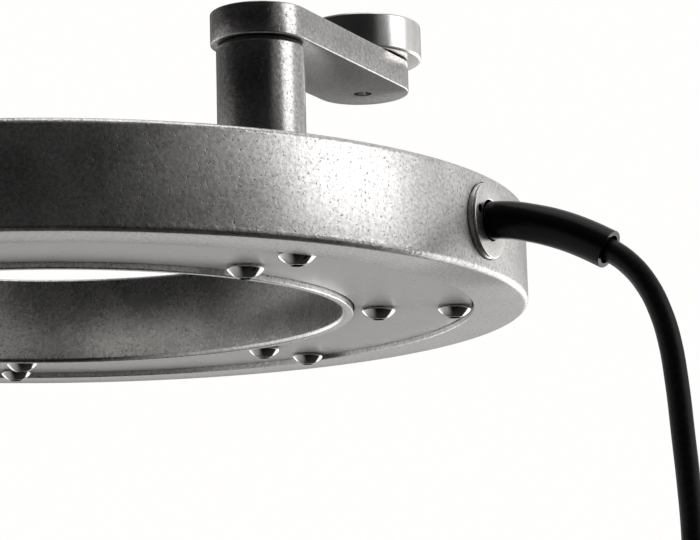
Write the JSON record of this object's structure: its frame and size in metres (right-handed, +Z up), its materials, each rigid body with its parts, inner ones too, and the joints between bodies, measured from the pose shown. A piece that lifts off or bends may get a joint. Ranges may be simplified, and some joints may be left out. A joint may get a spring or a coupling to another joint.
{
  "type": "led machine lamp",
  "caption": "Ring-shaped LED work light for a machine, on a short swivelling arm under a magnet foot, with a hanging cord that ends in a round connector.",
  "frame": {"origin": "centre of the magnet foot's upper face, which the lamp is held by", "axes": "+Z points up out of the magnet's face, and the lamp hangs below it, throwing its light towards -Z"},
  "size_m": [0.269, 0.21, 0.24],
  "materials": {
    "cast_ring": "blasted",
    "cover": "satin, translucent",
    "polished_steel": "polished",
    "turned_steel": "turned",
    "plated_brass": "nickel plated",
    "bush_bronze": "sintered",
    "black_rubber": "matt",
    "cord_jacket": "satin",
    "sleeve_black": "glossy",
    "black_plastic": "moulded",
    "strap_fabric": "hook and loop",
    "pad_grey": "soft",
    "board_white": "solder mask",
    "terminal_white": "moulded",
    "wire_red": "insulation",
    "wire_black": "insulation",
    "gold_pin": "gilt"
  },
  "bodies": {
    "foot": {"magnet_pot": "turned_steel", "magnet_resin": "black_plastic", "magnet_disc": "turned_steel", "foot_stud": "turned_steel"},
    "arm": {"arm_link": "cast_ring", "pivot_bush": "bush_bronze", "foot_washer": "black_plastic"},
    "lamp": {"pivot_disc_spring": "turned_steel", "post_washer": "black_plastic", "pivot_screw": "polished_steel", "ring_post": "turned_steel", "ring_housing": "cast_ring", "cover_plate": "cover", "outer_gasket": "black_rubber", "inner_gasket": "black_rubber", "outer_cover_screw_1": "polished_steel", "outer_cover_screw_2": "polished_steel", "outer_cover_screw_3": "polished_steel", "outer_cover_screw_4": "polished_steel", "outer_cover_screw_5": "polished_steel", "outer_cover_screw_6": "polished_steel", "outer_cover_screw_7": "polished_steel", "inner_cover_screw_1": "polished_steel", "inner_cover_screw_2": "polished_steel", "inner_cover_screw_3": "polished_steel", "inner_cover_screw_4": "polished_steel", "inner_cover_screw_5": "polished_steel", "inner_cover_screw_6": "polished_steel", "inner_cover_screw_7": "polished_steel", "thermal_pad": "pad_grey", "led_board": "board_white", "board_screw_1": "turned_steel", "board_screw_2": "turned_steel", "board_screw_3": "turned_steel", "wire_terminal": "terminal_white", "wire_plus": "wire_red", "wire_minus": "wire_black", "gland_bush": "plated_brass", "gland_seal": "black_rubber", "strain_relief_sleeve": "sleeve_black", "cord_lead": "cord_jacket", "cord_coil": "cord_jacket", "coil_tie": "strap_fabric", "connector_grip": "black_plastic", "connector_nut": "plated_brass", "connector_carrier": "black_plastic", "connector_pin_1": "gold_pin", "connector_pin_2": "gold_pin", "connector_pin_3": "gold_pin", "connector_pin_4": "gold_pin"}
  },
  "joints": [
    {"name": "arm_swivel", "type": "hinge", "parent": "foot", "child": "arm", "pos_m": [0, 0, 0], "axis": [0, 0, 1], "range_deg": [-180, 180]},
    {"name": "ring_swivel", "type": "hinge", "parent": "arm", "child": "lamp", "pos_m": [-0.0251, -0.03735, 0], "axis": [0, 0, 1], "range_deg": [-180, 180]}
  ]
}
